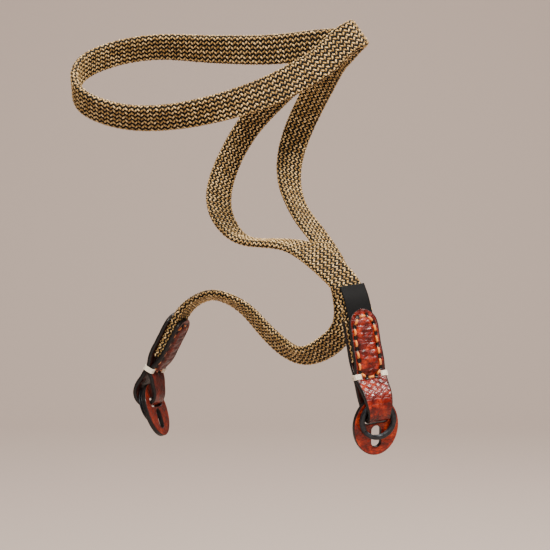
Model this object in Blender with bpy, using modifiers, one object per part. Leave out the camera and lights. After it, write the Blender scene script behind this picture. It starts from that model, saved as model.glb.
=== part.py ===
"""Flat braided camera strap with two leather ends, in the shape it takes when it hangs doubled from a support.

Frame: millimetres times MM, +Z up, +X to the right and +Y to the back when the strap is seen from its
front. The origin is the middle of the strap's inner fold, where the support carries it.
"""

import math

import bmesh
import bpy
import numpy as np
from mathutils import Matrix, Vector

MM = 0.001

# Strap: tubular braid pressed flat
STRAP_WIDTH = 14.0
STRAP_THICKNESS = 3.5
STRAP_END_THICKNESS = 2.4
STRAP_END_TAPER = 4.0
STRAP_EDGE_SEGMENTS = 4
STATION_PITCH = 7.0
STATION_TURN = 17.0
STRIP_PITCH = 3.4
STRIP_TURN = 17.0

# Strap route from the right leather end to the left one: point, then the vector across the strap
# x, y, z, across x, across y, across z
ROUTE = [
    (9.9, -16.4, -142.9, 0.93, 0.34, 0.145),
    (7.8, -15.4, -131.1, 0.93, 0.34, 0.145),
    (6.7, -14.9, -125.2, 0.93, 0.34, 0.145),
    (5.6, -14.5, -119.3, 0.92, 0.34, 0.16),
    (3.3, -13.3, -113.5, 0.90, 0.35, 0.24),
    (-0.5, -10.2, -107.5, 0.85, 0.35, 0.39),
    (-5.0, -5.5, -102.5, 0.75, 0.38, 0.54),
    (-10.5, 0.0, -97.5, 0.58, 0.54, 0.60),
    (-16.5, 7.0, -93.5, 0.36, 0.80, 0.48),
    (-25.5, 15.0, -90.5, 0.10, 0.97, 0.22),
    (-37.0, 25.0, -89.5, 0.02, 0.99, 0.10),
    (-46.5, 34.0, -87.5, 0.30, 0.95, 0.10),
    (-53.5, 43.0, -81.0, 0.62, 0.78, 0.06),
    (-57.5, 52.0, -71.0, 0.78, 0.62, 0.00),
    (-57.0, 59.0, -60.5, 0.81, 0.58, -0.10),
    (-52.0, 63.0, -46.5, 0.76, 0.60, -0.25),
    (-44.0, 61.0, -33.0, 0.72, 0.56, -0.41),
    (-34.0, 52.0, -22.0, 0.68, 0.50, -0.54),
    (-23.0, 36.0, -12.5, 0.64, 0.38, -0.66),
    (-13.0, 18.5, -6.0, 0.62, 0.18, -0.76),
    (-6.0, 8.0, -2.5, 0.58, 0.05, -0.82),
    (0.0, 3.7, 0.0, 0.56, 0.00, -0.83),
    (2.2, 2.6, 1.4, 0.54, 0.00, -0.84),
    (3.1, 0.0, 2.0, 0.50, 0.00, -0.87),
    (2.1, -2.6, 1.2, 0.46, 0.00, -0.89),
    (-0.5, -3.7, 0.2, 0.38, 0.00, -0.92),
    (-8.5, -2.5, -0.5, 0.25, 0.05, -0.97),
    (-19.5, 3.0, -1.0, 0.12, 0.15, -0.98),
    (-33.0, 9.0, -1.5, 0.04, 0.28, -0.96),
    (-49.0, 14.0, -1.0, 0.00, 0.42, -0.91),
    (-65.5, 18.0, 0.0, 0.00, 0.55, -0.84),
    (-81.5, 20.0, 1.0, 0.00, 0.65, -0.76),
    (-97.0, 19.0, -0.5, 0.00, 0.68, -0.73),
    (-109.5, 14.0, -4.5, 0.00, 0.68, -0.73),
    (-118.0, 7.0, -10.0, 0.00, 0.68, -0.73),
    (-121.0, -3.0, -18.0, 0.00, 0.68, -0.73),
    (-118.0, -12.0, -26.0, 0.00, 0.68, -0.73),
    (-109.5, -18.0, -31.5, 0.00, 0.68, -0.73),
    (-97.0, -21.0, -35.0, 0.00, 0.68, -0.73),
    (-81.5, -22.0, -35.5, 0.02, 0.66, -0.75),
    (-64.0, -22.0, -33.0, 0.10, 0.58, -0.81),
    (-47.5, -20.0, -28.5, 0.25, 0.45, -0.86),
    (-33.0, -17.0, -23.0, 0.40, 0.28, -0.87),
    (-19.0, -13.0, -15.5, 0.50, 0.12, -0.86),
    (-8.0, -10.5, -8.0, 0.55, 0.03, -0.83),
    (0.0, -8.3, 0.1, 0.56, 0.00, -0.83),
    (5.0, -5.9, 3.4, 0.56, 0.00, -0.83),
    (7.0, 0.0, 4.7, 0.57, 0.00, -0.82),
    (4.9, 5.9, 3.2, 0.60, 0.00, -0.80),
    (0.8, 10.8, -0.9, 0.64, 0.00, -0.76),
    (-2.5, 22.0, -3.5, 0.71, 0.00, -0.71),
    (-7.0, 38.0, -10.0, 0.79, 0.00, -0.61),
    (-12.5, 54.0, -19.5, 0.90, 0.05, -0.43),
    (-18.5, 65.0, -31.5, 0.93, 0.15, -0.33),
    (-23.0, 67.0, -45.0, 0.90, 0.38, -0.22),
    (-24.0, 62.0, -57.0, 0.74, 0.66, 0.08),
    (-21.5, 53.0, -68.5, 0.50, 0.85, 0.18),
    (-16.5, 43.0, -78.0, 0.36, 0.89, 0.28),
    (-10.5, 33.0, -86.5, 0.34, 0.88, 0.32),
    (-5.0, 25.5, -95.5, 0.50, 0.81, 0.30),
    (-1.0, 19.0, -105.5, 0.72, 0.68, 0.12),
    (1.5, 15.0, -116.5, 0.81, 0.59, -0.08),
    (1.0, 15.5, -128.0, 0.70, 0.62, -0.34),
    (-6.0, 21.0, -137.0, 0.41, 0.69, -0.59),
    (-16.5, 31.0, -142.0, 0.05, 0.90, -0.44),
    (-26.5, 42.0, -138.5, -0.20, 0.92, -0.35),
    (-36.5, 52.0, -129.5, -0.24, 0.94, -0.25),
    (-45.5, 60.0, -120.5, -0.20, 0.96, -0.20),
    (-54.0, 64.0, -115.5, -0.10, 0.98, -0.18),
    (-62.5, 67.0, -114.0, 0.05, 0.98, -0.18),
    (-70.0, 68.5, -117.0, 0.22, 0.97, -0.12),
    (-75.8, 69.0, -122.9, 0.37, 0.93, -0.03),
    (-78.5, 70.2, -128.2, 0.383, 0.924, 0.00),
    (-81.1, 71.3, -133.4, 0.383, 0.924, 0.00),
    (-86.5, 73.5, -143.9, 0.383, 0.924, 0.00),
]

# Free room that touching pieces keep
CLEARANCE = 0.3

# Split rings, drawn closed
RING_RADIUS = 7.65
RING_WIRE = 1.1
RING_DROP = 0.4
RING_BULGE = 0.70

# Leather ends: one strip each, folded over the strap end, gathered at a waist and looped through a ring
# name, waist x, y, z, heading in degrees, pad tilt, roll, lean of the leaves, room above the ring, loop bulge,
# swing of ring and pad
ENDS = [
    ("right", 11.4, -17.0, -150.7, -68.0, 12.0, 8.5, 20.0, 9.95, 9.2, 4.0),
    ("left", -90.1, 75.0, -150.9, 157.5, 18.0, 0.0, 47.0, 7.35, 10.8, 0.0),
]

LEATHER_THICKNESS = 1.9
LEATHER_CHAMFER = 0.4
LEAF_LENGTH = 30.7
LEAF_WIDTH = 14.0
WAIST_WIDTH = 15.0
FOLD_WIDTH = 11.0
LEAF_TIP_RADIUS = 6.9
LEAF_TIP_FLAT = 0.8
WAIST_OFFSET = (LEATHER_THICKNESS + CLEARANCE) / 2.0
LEAF_OFFSET = STRAP_THICKNESS / 2.0 + CLEARANCE + LEATHER_THICKNESS / 2.0

# How the two leaves open from the waist round the strap end
# share of the leaf's length, share of the way from the waist's offset to the leaf's
LEAF_OPENING = [
    (0.0, 0.0),
    (0.08, 0.03),
    (0.16, 0.42),
    (0.26, 0.87),
    (0.36, 1.0),
    (0.49, 1.0),
    (0.72, 1.0),
    (0.85, 1.0),
    (1.0, 1.0),
]

# Loop of the strip through the ring, from the front of the waist to its back
# share of drop, share of bulge
LOOP = [
    (0.12, 0.36),
    (0.27, 0.68),
    (0.47, 0.93),
    (0.68, 1.00),
    (0.88, 0.90),
    (0.985, 0.72),
    (1.0, 0.48),
    (0.93, 0.22),
    (0.78, 0.08),
    (0.5, 0.0),
    (0.2, -0.06),
]

# Narrowing of the strip from the waist to the fold
# share of drop, share of the way from the waist's width to the fold's
LOOP_NARROWING = [
    (0.0, 0.0),
    (0.42, 0.4),
    (0.8, 0.95),
    (1.0, 1.0),
]

# Edge bindings: a band of thread wrapped round each edge of the waist
BINDING_HEIGHT = 2.4
BINDING_THICKNESS = 0.6
BINDING_REACH = 4.7
BINDING_ROOM = 0.55
BINDING_ROUND = 0.6
BINDING_CENTRE = BINDING_HEIGHT / 2.0

# Woven label tab caught between the right end's outer leaf and the strap
LABEL_WIDTH = 12.0
LABEL_THICKNESS = 0.6
LABEL_TURN = 2.2
LABEL_START = 24.0
LABEL_LENGTH = 18.3
LABEL_SINK = 2.0

# How the label bends back with the strap
# share of length, share of sink
LABEL_BEND = [
    (0.0, 0.0),
    (0.2, 0.0),
    (0.4, 0.0),
    (0.55, 0.04),
    (0.7, 0.22),
    (0.85, 0.6),
    (1.0, 1.0),
]

# Pads: oval plates behind the rings, with a slit for the loop and a slot below it
PAD_LENGTH = 26.5
PAD_WIDTH = 21.5
PAD_THICKNESS = 2.4
PAD_TOP = 9.8
PAD_EDGE = 0.5
PAD_BEHIND_RING = RING_WIRE + CLEARANCE + PAD_THICKNESS / 2.0
SLIT_SIDE_ROOM = 0.7
SLIT_ROOM = 1.4
SLIT_RISE = 0.35
SLIT_WIDTH = FOLD_WIDTH + 2.0 * SLIT_SIDE_ROOM
SLIT_HEIGHT = LEATHER_THICKNESS + 2.0 * SLIT_ROOM
BRIDGE = 1.15
SLOT_WIDTH = 4.5
SLOT_LENGTH = 9.8
SLOT_BELOW_SLIT = SLIT_HEIGHT / 2.0 + BRIDGE + SLOT_LENGTH / 2.0
CUTTER_DEPTH = 12.0
CUTTER_ROUNDING = 0.92

# Materials: name, colour, roughness, metallic
FINISHES = {
    "braid": ((0.30, 0.21, 0.10, 1.0), 0.75, 0.0),
    "leather": ((0.28, 0.06, 0.03, 1.0), 0.45, 0.0),
    "thread": ((0.72, 0.62, 0.47, 1.0), 0.70, 0.0),
    "label": ((0.015, 0.015, 0.016, 1.0), 0.85, 0.0),
    "ring": ((0.02, 0.02, 0.022, 1.0), 0.35, 1.0),
}

for old in list(bpy.context.scene.objects):
    bpy.data.objects.remove(old, do_unlink=True)

parts = bpy.data.collections.new("parts")
cutters = bpy.data.collections.new("cutters")
bpy.context.scene.collection.children.link(parts)
bpy.context.scene.collection.children.link(cutters)


def finish(name):
    """Principled material of the named finish, made once."""
    if name in bpy.data.materials:
        return bpy.data.materials[name]
    colour, roughness, metallic = FINISHES[name]
    material = bpy.data.materials.new(name)
    material.use_nodes = True
    shader = material.node_tree.nodes["Principled BSDF"]
    shader.inputs["Base Color"].default_value = colour
    shader.inputs["Roughness"].default_value = roughness
    shader.inputs["Metallic"].default_value = metallic
    return material


def natural_spline(knots, values, at):
    """Natural cubic spline through values at the knots, read at the positions in at."""
    n = len(knots)
    h = np.diff(knots)
    slope = np.diff(values, axis=0) / h[:, None]
    system = np.zeros((n, n))
    system[0, 0] = system[-1, -1] = 1.0
    i = np.arange(1, n - 1)
    system[i, i - 1] = h[i - 1]
    system[i, i] = 2.0 * (h[i - 1] + h[i])
    system[i, i + 1] = h[i]
    right = np.zeros_like(values)
    right[i] = 6.0 * (slope[i] - slope[i - 1])
    m = np.linalg.solve(system, right)
    k = np.clip(np.searchsorted(knots, at, side="right") - 1, 0, n - 2)
    after = (at - knots[k])[:, None]
    before = (knots[k + 1] - at)[:, None]
    step = h[k][:, None]
    cubic = (m[k] * before**3 + m[k + 1] * after**3) / (6.0 * step)
    low = (values[k] / step - m[k] * step / 6.0) * before
    high = (values[k + 1] / step - m[k + 1] * step / 6.0) * after
    return cubic + low + high


def chord_length(points):
    """Running straight-line length through the points."""
    return np.concatenate([[0.0], np.cumsum(np.linalg.norm(np.diff(points, axis=0), axis=1))])


def stations(points, pitch, turn):
    """Knot positions along a spline so that no step is longer than pitch or bends more than turn degrees."""
    knots = chord_length(points)
    fine = np.linspace(0.0, knots[-1], 4001)
    line = natural_spline(knots, points, fine)
    along = np.diff(line, axis=0)
    length = np.linalg.norm(along, axis=1)
    along /= length[:, None]
    bend = np.concatenate([[0.0], np.arccos(np.clip((along[1:] * along[:-1]).sum(1), -1.0, 1.0))])
    cost = np.concatenate([[0.0], np.cumsum(length / pitch + bend / math.radians(turn))])
    count = int(math.ceil(cost[-1])) + 1
    return knots, np.interp(np.linspace(0.0, cost[-1], count), cost, fine)


def unit(rows):
    """Rows scaled to length one."""
    return rows / np.linalg.norm(rows, axis=-1, keepdims=True)


def loft(name, rings, material):
    """Closed body through rings of equal point count, capped at both ends."""
    count, sides = len(rings), len(rings[0])
    faces = [tuple(range(sides)), tuple(range((count - 1) * sides, count * sides))]
    for i in range(count - 1):
        for j in range(sides):
            k = (j + 1) % sides
            faces.append((i * sides + j, i * sides + k, (i + 1) * sides + k, (i + 1) * sides + j))
    return solid(name, rings, faces, material)


def band(name, edges, thickness, material):
    """Open strip between two edge lines, given its thickness by Solidify."""
    count = len(edges)
    faces = [(2 * i, 2 * i + 1, 2 * i + 3, 2 * i + 2) for i in range(count - 1)]
    item = solid(name, edges, faces, material)
    wall = item.modifiers.new("wall", "SOLIDIFY")
    wall.thickness = thickness * MM
    wall.offset = 0.0
    wall.use_even_offset = True
    return item


def solid(name, rows, faces, material):
    """Mesh object from rows of points in millimetres, with its faces turned outwards."""
    mesh = bpy.data.meshes.new(name)
    points = (np.asarray(rows) * MM).reshape(-1, 3)
    mesh.from_pydata(points.tolist(), [], faces)
    tidy = bmesh.new()
    tidy.from_mesh(mesh)
    bmesh.ops.recalc_face_normals(tidy, faces=tidy.faces)
    tidy.to_mesh(mesh)
    tidy.free()
    item = bpy.data.objects.new(name, mesh)
    parts.objects.link(item)
    return dress(item, material)


def dress(item, material):
    """Material and smooth shading for a piece."""
    item.data.materials.clear()
    item.data.materials.append(finish(material))
    item.data.polygons.foreach_set("use_smooth", [True] * len(item.data.polygons))
    return item


def take_active(name, collection, matrix):
    """The primitive just added, named, placed and moved into the collection."""
    item = bpy.context.active_object
    item.name = name
    item.data.name = name
    for home in list(item.users_collection):
        home.objects.unlink(item)
    collection.objects.link(item)
    item.matrix_world = matrix
    return item


def bevel(item, width, segments):
    """Rounded edges on a primitive."""
    modifier = item.modifiers.new("bevel", "BEVEL")
    modifier.width = width * MM
    modifier.segments = segments
    modifier.limit_method = "ANGLE"
    modifier.angle_limit = math.radians(40.0)
    return item


# Braided strap: stadium section carried along the route, pressed thinner where the leather grips it
def strap_section(width, thickness):
    """Stadium outline as across and through offsets, rounded edges at both sides."""
    radius = thickness / 2.0
    middle = width / 2.0 - radius
    turn = np.linspace(-math.pi / 2.0, math.pi / 2.0, STRAP_EDGE_SEGMENTS + 1)
    right = np.stack([middle + radius * np.cos(turn), radius * np.sin(turn)], 1)
    outline = np.concatenate([right, [(0.0, radius)], -right, [(0.0, -radius)]])
    return outline


route = np.array(ROUTE)
knots, at = stations(route[:, :3], STATION_PITCH, STATION_TURN)
centre = natural_spline(knots, route[:, :3], at)
along = unit(natural_spline(knots, route[:, :3], at + 0.05) - natural_spline(knots, route[:, :3], at - 0.05))
across = natural_spline(knots, route[:, 3:], at)
across = unit(across - (across * along).sum(1)[:, None] * along)
through = np.cross(along, across)
from_end = np.minimum(at, knots[-1] - at)
pressed = np.clip(from_end / STRAP_END_TAPER, 0.0, 1.0)
rings = []
for i in range(len(at)):
    thick = STRAP_END_THICKNESS + (STRAP_THICKNESS - STRAP_END_THICKNESS) * pressed[i]
    outline = strap_section(STRAP_WIDTH, thick)
    rings.append(centre[i] + outline[:, :1] * across[i] + outline[:, 1:] * through[i])
loft("braided_strap", rings, "braid")


# Leather ends, each in its own frame: down along the pad, outward from it, and across
def end_frame(heading, tilt, roll):
    """Down, outward and across vectors of one leather end."""
    out = np.array([math.cos(math.radians(heading)), math.sin(math.radians(heading)), 0.0])
    up = np.array([0.0, 0.0, 1.0])
    t = math.radians(tilt)
    outward = out * math.cos(t) - up * math.sin(t)
    down = -(up * math.cos(t) + out * math.sin(t))
    side = np.cross(outward, down)
    r = math.radians(roll)
    return down * math.cos(r) + side * math.sin(r), outward, side * math.cos(r) - down * math.sin(r)


def leaf_offset(share, lift):
    """Distance of a leaf's middle from the strap's middle plane, with room for the label near the tip."""
    opening = np.array(LEAF_OPENING)
    opened = np.interp(share, opening[:, 0], opening[:, 1])
    raised = lift * min(max((share - 0.45) / 0.25, 0.0), 1.0)
    return WAIST_OFFSET + (LEAF_OFFSET - WAIST_OFFSET) * opened + raised


def strip_path(drop, bulge, lean, lift):
    """Middle line of the folded strip as down and outward offsets from the waist."""
    c, s = math.cos(math.radians(lean)), math.sin(math.radians(lean))
    front = []
    back = []
    for share, opened in LEAF_OPENING:
        height = share * LEAF_LENGTH
        near = leaf_offset(share, lift)
        far = leaf_offset(share, 0.0)
        front.append((-height * c - near * s, -height * s + near * c))
        back.append((-height * c + far * s, -height * s - far * c))
    loop = [(down_share * drop, out_share * bulge) for down_share, out_share in LOOP]
    return np.array(front[::-1] + loop + back)


def strip_width(middle, drop, lean):
    """Width of the strip: wide at the waist, narrower up the leaf and down to the fold."""
    c, s = math.cos(math.radians(lean)), math.sin(math.radians(lean))
    height = -(middle @ np.array([c, s]))
    leaf = np.interp(height, [0.0, LEAF_LENGTH / 2.0], [WAIST_WIDTH, LEAF_WIDTH])
    table = np.array(LOOP_NARROWING)
    share = np.interp(middle[:, 0] / drop, table[:, 0], table[:, 1])
    return np.where(height > 0.0, leaf, WAIST_WIDTH + (FOLD_WIDTH - WAIST_WIDTH) * share)


def rounded_tip(widths, from_tip):
    """Widths near a tip cut back to a half round."""
    short = np.clip(LEAF_TIP_RADIUS - from_tip, 0.0, LEAF_TIP_RADIUS)
    rounded = 2.0 * np.sqrt(np.maximum(LEAF_TIP_RADIUS**2 - short**2, LEAF_TIP_FLAT**2))
    return np.where(from_tip < LEAF_TIP_RADIUS, np.minimum(widths, rounded), widths)


def leather_strip(name, drop, bulge, lean, lift):
    """Leaf, loop and second leaf in one chamfered strip."""
    path = strip_path(drop, bulge, lean, lift)
    knots, at = stations(path, STRIP_PITCH, STRIP_TURN)
    tip = LEAF_TIP_RADIUS * (1.0 - np.cos(np.linspace(0.0, math.pi / 2.0, 8)))
    clear = (at > LEAF_TIP_RADIUS + 1.0) & (at < knots[-1] - LEAF_TIP_RADIUS - 1.0)
    at = np.concatenate([tip, at[clear], knots[-1] - tip[::-1]])
    middle = natural_spline(knots, path, at)
    step = unit(natural_spline(knots, path, at + 0.05) - natural_spline(knots, path, at - 0.05))
    widths = rounded_tip(strip_width(middle, drop, lean), np.minimum(at, knots[-1] - at))
    rings = []
    for spot, ahead, width in zip(middle, step, widths):
        normal = np.cross(side, down * ahead[0] + outward * ahead[1])
        a, b = width / 2.0, LEATHER_THICKNESS / 2.0
        e = min(LEATHER_CHAMFER, a / 2.0)
        half = np.array([(a - e, -b), (a, -b + e), (a, b - e), (a - e, b)])
        outline = np.concatenate([half, -half])
        place = waist + down * spot[0] + outward * spot[1]
        rings.append(place + outline[:, :1] * side + outline[:, 1:] * normal)
    loft(name + "_leather_end", rings, "leather")


def edge_binding(name, sign):
    """C-shaped band round one edge of the waist."""
    face = WAIST_OFFSET + LEATHER_THICKNESS / 2.0 + BINDING_ROOM + BINDING_THICKNESS / 2.0
    edge = WAIST_WIDTH / 2.0 + CLEARANCE + BINDING_THICKNESS / 2.0
    corner = BINDING_ROUND
    half = [(edge - BINDING_REACH, face), (edge - corner, face), (edge - 0.29 * corner, face - 0.29 * corner),
            (edge, face - corner)]
    line = half + [(along_side, -out) for along_side, out in reversed(half)]
    edges = []
    for along_side, out in line:
        place = waist + side * sign * along_side + leaf_out * out
        low = place + leaf_up * (BINDING_CENTRE - BINDING_HEIGHT / 2.0)
        high = place + leaf_up * (BINDING_CENTRE + BINDING_HEIGHT / 2.0)
        edges.append((low, high))
    band(name, edges, BINDING_THICKNESS, "thread")


def label_tab(name):
    """Flat tab that stands out of the leaves and bends back with the strap."""
    front = STRAP_THICKNESS / 2.0 + CLEARANCE + LABEL_THICKNESS / 2.0
    lean_over = math.tan(math.radians(LABEL_TURN))
    edges = []
    for share, sunk in LABEL_BEND:
        height = LABEL_START + share * LABEL_LENGTH
        aside = lean_over * (height - LEAF_LENGTH)
        place = waist + leaf_up * height + leaf_out * (front - sunk * LABEL_SINK) - side * aside
        edges.append((place - side * LABEL_WIDTH / 2.0, place + side * LABEL_WIDTH / 2.0))
    band(name, edges, LABEL_THICKNESS, "label")


def frame_matrix(spot, swing):
    """Placement with X across, Y up the pad and Z outward, swung in the pad's plane."""
    matrix = Matrix.Identity(4)
    matrix.col[0][:3] = side
    matrix.col[1][:3] = -down
    matrix.col[2][:3] = outward
    matrix = matrix @ Matrix.Rotation(math.radians(-swing), 4, "Z")
    matrix.col[3][:3] = spot * MM
    return matrix


def pad_plate(name, drop, hinge, swing):
    """Oval plate with its slit and slot cut through."""
    middle_below = PAD_LENGTH / 2.0 - PAD_TOP + SLIT_RISE
    shift = Matrix.Translation(Vector((0.0, -middle_below * MM, 0.0)))
    oval = Matrix.Diagonal(Vector((PAD_WIDTH / PAD_LENGTH, 1.0, 1.0, 1.0)))
    bpy.ops.mesh.primitive_cylinder_add(vertices=48, radius=PAD_LENGTH / 2.0 * MM, depth=PAD_THICKNESS * MM)
    pad = take_active(name, parts, frame_matrix(hinge, swing))
    pad.data.transform(shift @ oval)
    bevel(dress(pad, "leather"), PAD_EDGE, 1)
    cut(pad, "slit", SLIT_WIDTH, SLIT_HEIGHT, 0.0, frame_matrix(hinge, 0.0))
    cut(pad, "slot", SLOT_WIDTH, SLOT_LENGTH, SLOT_BELOW_SLIT, frame_matrix(hinge, swing))


def cut(pad, label, width, height, below, matrix):
    """Round-ended opening through the pad."""
    bpy.ops.mesh.primitive_cube_add(size=1.0)
    cutter = take_active(pad.name + "_" + label + "_cutter", cutters, matrix)
    size = Matrix.Diagonal(Vector((width * MM, height * MM, CUTTER_DEPTH * MM, 1.0)))
    cutter.data.transform(Matrix.Translation(Vector((0.0, -below * MM, 0.0))) @ size)
    bevel(cutter, min(width, height) / 2.0 * CUTTER_ROUNDING, 5)
    cutter.display_type = "WIRE"
    cutter.hide_render = True
    opening = pad.modifiers.new(label, "BOOLEAN")
    opening.operation = "DIFFERENCE"
    opening.solver = "EXACT"
    opening.object = cutter


def split_ring(name, spot, swing):
    """Ring of round wire."""
    bpy.ops.mesh.primitive_torus_add(major_radius=RING_RADIUS * MM, minor_radius=RING_WIRE * MM,
                                     major_segments=36, minor_segments=10)
    dress(take_active(name, parts, frame_matrix(spot, swing)), "ring")


for name, wx, wy, wz, heading, tilt, roll, lean, room, bulge, swing in ENDS:
    down, outward, side = end_frame(heading, tilt, roll)
    waist = np.array([wx, wy, wz])
    c, s = math.cos(math.radians(lean)), math.sin(math.radians(lean))
    leaf_up = -down * c - outward * s
    leaf_out = outward * c - down * s
    drop = room + RING_RADIUS
    labelled = name == "right"
    leather_strip(name, drop, bulge, lean, LABEL_THICKNESS + CLEARANCE if labelled else 0.0)
    edge_binding(name + "_edge_binding_a", 1.0)
    edge_binding(name + "_edge_binding_b", -1.0)
    if labelled:
        label_tab(name + "_label_tab")
    ring_spot = waist + down * (drop + RING_DROP) + outward * bulge * RING_BULGE
    split_ring(name + "_split_ring", ring_spot, swing)
    hinge = waist + down * (drop - SLIT_RISE) + outward * (bulge * RING_BULGE - PAD_BEHIND_RING)
    pad_plate(name + "_pad", drop, hinge, swing)
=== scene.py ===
"""Braided camera strap with leather ends, hanging doubled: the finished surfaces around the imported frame."""
import math

import bpy
import numpy as np
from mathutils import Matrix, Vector


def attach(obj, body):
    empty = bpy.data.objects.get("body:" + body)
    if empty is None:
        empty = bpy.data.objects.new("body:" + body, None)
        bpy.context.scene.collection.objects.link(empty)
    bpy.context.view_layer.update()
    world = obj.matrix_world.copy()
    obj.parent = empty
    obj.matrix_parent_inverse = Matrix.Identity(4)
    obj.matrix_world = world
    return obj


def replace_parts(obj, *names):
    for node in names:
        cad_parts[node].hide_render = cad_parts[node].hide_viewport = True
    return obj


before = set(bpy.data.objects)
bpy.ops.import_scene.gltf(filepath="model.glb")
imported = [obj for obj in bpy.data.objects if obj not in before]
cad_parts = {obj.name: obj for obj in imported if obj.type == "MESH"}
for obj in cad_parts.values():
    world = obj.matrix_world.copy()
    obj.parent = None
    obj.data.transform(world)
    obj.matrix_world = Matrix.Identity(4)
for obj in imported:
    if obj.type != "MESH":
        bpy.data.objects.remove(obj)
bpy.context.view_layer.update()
MM = 0.001


# Camera: about 0.9 m in front of the hanging strap and level with its lower half. The lens gives the
# photograph's frame at that distance, with the horizon a little below the middle of the picture.
EYE = (-0.03077, -0.905, -0.1138)
FOCAL_PIXELS = 2000.0
HORIZON_ROW = 295.0
PICTURE = 550.0
SENSOR = 36.0

camera_data = bpy.data.cameras.new("camera")
camera_data.sensor_width = SENSOR
camera_data.lens = SENSOR * FOCAL_PIXELS / PICTURE
camera_data.clip_start = 0.05
camera_data.clip_end = 20.0
camera = bpy.data.objects.new("camera", camera_data)
camera.location = EYE
pitch = math.atan((HORIZON_ROW - PICTURE / 2.0) / FOCAL_PIXELS)
camera.rotation_euler = (math.pi / 2.0 + pitch, 0.0, 0.0)
bpy.context.scene.collection.objects.link(camera)
bpy.context.scene.camera = camera


# Studio: one sweep of pale paper, floor and wall in one, well below and behind the strap. The key light is
# above and in front, with a weak broad fill from the front, a small sheen light from the upper right and a
# rim light from behind. A large light of its own lifts the wall.
FLOOR_HEIGHT = -0.30
SWEEP_BACK = 2.8
SWEEP_RADIUS = 0.9
SWEEP_STEPS = 25
SWEEP_FRONT = -2.8
SWEEP_TOP = 3.2
SWEEP_HALF_WIDTH = 4.0
STRAP_MIDDLE = (-0.04, 0.02, -0.09)
WALL_MIDDLE = (0.0, 2.8, 0.3)
# name, place, aim and size in metres, power in watts, colour
LIGHTS = [
    ("key_light", (-0.22, -0.95, 0.82), STRAP_MIDDLE, 0.4, 17.5, "#fff4e6"),
    ("fill_light", (0.15, -1.45, -0.02), STRAP_MIDDLE, 1.2, 4.0, "#f4f4ff"),
    ("sheen_light", (0.52, -0.58, 0.80), STRAP_MIDDLE, 0.22, 25.0, "#fffaf2"),
    ("rim_light", (0.35, 0.70, 0.85), STRAP_MIDDLE, 0.5, 6.0, "#ffffff"),
    ("backdrop_light", (0.0, 1.2, 2.6), WALL_MIDDLE, 1.6, 104.0, "#fff6f0"),
]
AIR_COLOUR = "#e9eaee"
AIR_STRENGTH = 0.12


def linear(code):
    """sRGB hex colour as linear red, green, blue and alpha."""
    parts = np.array([int(code[i:i + 2], 16) for i in (1, 3, 5)]) / 255.0
    low = parts / 12.92
    high = ((parts + 0.055) / 1.055) ** 2.4
    return tuple(np.where(parts <= 0.04045, low, high)) + (1.0,)


def add_node(tree, kind, settings=None, links=None):
    """Node of one kind with its properties and input values set and its inputs linked."""
    node = tree.nodes.new(kind)
    for key, value in (settings or {}).items():
        if isinstance(key, str) and hasattr(node, key):
            setattr(node, key, value)
        else:
            node.inputs[key].default_value = value
    for key, source in (links or {}).items():
        tree.links.new(source, node.inputs[key])
    return node


def new_material(name, colour, roughness, finish=None):
    """Principled material, its node tree and its shader. The finish holds values of further sockets."""
    material = bpy.data.materials.new(name)
    material.use_nodes = True
    tree = material.node_tree
    shader = tree.nodes["Principled BSDF"]
    shader.inputs["Base Color"].default_value = linear(colour)
    shader.inputs["Roughness"].default_value = roughness
    for socket, value in (finish or {}).items():
        shader.inputs[socket].default_value = value
    return material, tree, shader


# Background paper: uncoated, so it is dead matt and shows no bright patch.
paper = new_material("matt_background_paper", "#b2a399", 0.95)[0]
turn = np.linspace(0.0, math.pi / 2.0, SWEEP_STEPS)
bend_back = SWEEP_BACK - SWEEP_RADIUS + SWEEP_RADIUS * np.sin(turn)
bend_up = FLOOR_HEIGHT + SWEEP_RADIUS - SWEEP_RADIUS * np.cos(turn)
profile = [(SWEEP_FRONT, FLOOR_HEIGHT), *zip(bend_back, bend_up), (SWEEP_BACK, SWEEP_TOP)]
sweep_points = [(x, y, z) for x in (-SWEEP_HALF_WIDTH, SWEEP_HALF_WIDTH) for y, z in profile]
count = len(profile)
sweep_faces = [(i, count + i, count + i + 1, i + 1) for i in range(count - 1)]
sweep_mesh = bpy.data.meshes.new("studio_sweep")
sweep_mesh.from_pydata(sweep_points, [], sweep_faces)
sweep_mesh.shade_smooth()
sweep_mesh.materials.append(paper)
sweep = bpy.data.objects.new("studio_sweep", sweep_mesh)
bpy.context.scene.collection.objects.link(sweep)

for name, place, aim, size, power, colour in LIGHTS:
    light_data = bpy.data.lights.new(name, "AREA")
    light_data.shape = "DISK"
    light_data.size = size
    light_data.energy = power
    light_data.color = linear(colour)[:3]
    light = bpy.data.objects.new(name, light_data)
    light.location = place
    light.rotation_euler = (Vector(aim) - Vector(place)).to_track_quat("-Z", "Y").to_euler()
    bpy.context.scene.collection.objects.link(light)

world = bpy.data.worlds.new("studio_air")
world.use_nodes = True
air = world.node_tree.nodes["Background"]
air.inputs["Color"].default_value = linear(AIR_COLOUR)
air.inputs["Strength"].default_value = AIR_STRENGTH
bpy.context.scene.world = world


# Braided strap: polyester yarn braided over nothing into a tube, then pressed flat, 14 mm wide. Its core
# here is the dark inside of the tube, and the yarn floats lie over it. It is a free hanging cord.

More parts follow.
